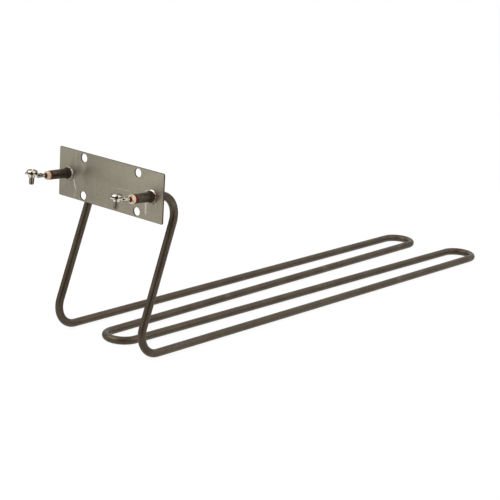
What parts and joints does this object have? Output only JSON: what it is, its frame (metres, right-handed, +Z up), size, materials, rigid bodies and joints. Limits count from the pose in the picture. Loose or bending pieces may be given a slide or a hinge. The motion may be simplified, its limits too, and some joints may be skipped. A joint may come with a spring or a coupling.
{
  "type": "tubular heating element",
  "caption": "Bent tubular heating element with flat hairpin legs, upright risers, a drilled mounting plate and insulated screw terminals.",
  "frame": {"origin": "centre of the four bolt holes, on the back face of the mounting plate", "axes": "+Y from the plate along the heated legs, -Y towards the terminals, +X to the right seen from the terminals, +Z up, with the flat layer of legs below the plate"},
  "size_m": [0.1508, 0.652, 0.1966],
  "materials": {
    "plate": "dull zinc-grey sheet, mottled",
    "sheath": "dark oxidised alloy, satin",
    "coil": "plain drawn wire",
    "fill": "packed white mineral powder",
    "collar": "dark oxidised, reddish edge",
    "braze": "uneven silver-grey bead",
    "seal": "dark red silicone",
    "ceramic": "cream ceramic, bisque",
    "pin": "nickel plated",
    "terminal": "bright nickel plate",
    "screw": "bright nickel plate"
  },
  "bodies": {
    "root": {"mounting_plate": "plate", "sheath_tube": "sheath", "resistance_coil": "coil", "insulation_fill": "fill", "left_collar": "collar", "left_braze_ring": "braze", "left_end_seal": "seal", "left_ceramic_bushing": "ceramic", "left_pin_seal": "seal", "left_terminal_pin": "pin", "left_terminal_lug": "terminal", "left_terminal_screw": "screw", "right_collar": "collar", "right_braze_ring": "braze", "right_end_seal": "seal", "right_ceramic_bushing": "ceramic", "right_pin_seal": "seal", "right_terminal_pin": "pin", "right_terminal_lug": "terminal", "right_terminal_screw": "screw"}
  },
  "joints": []
}
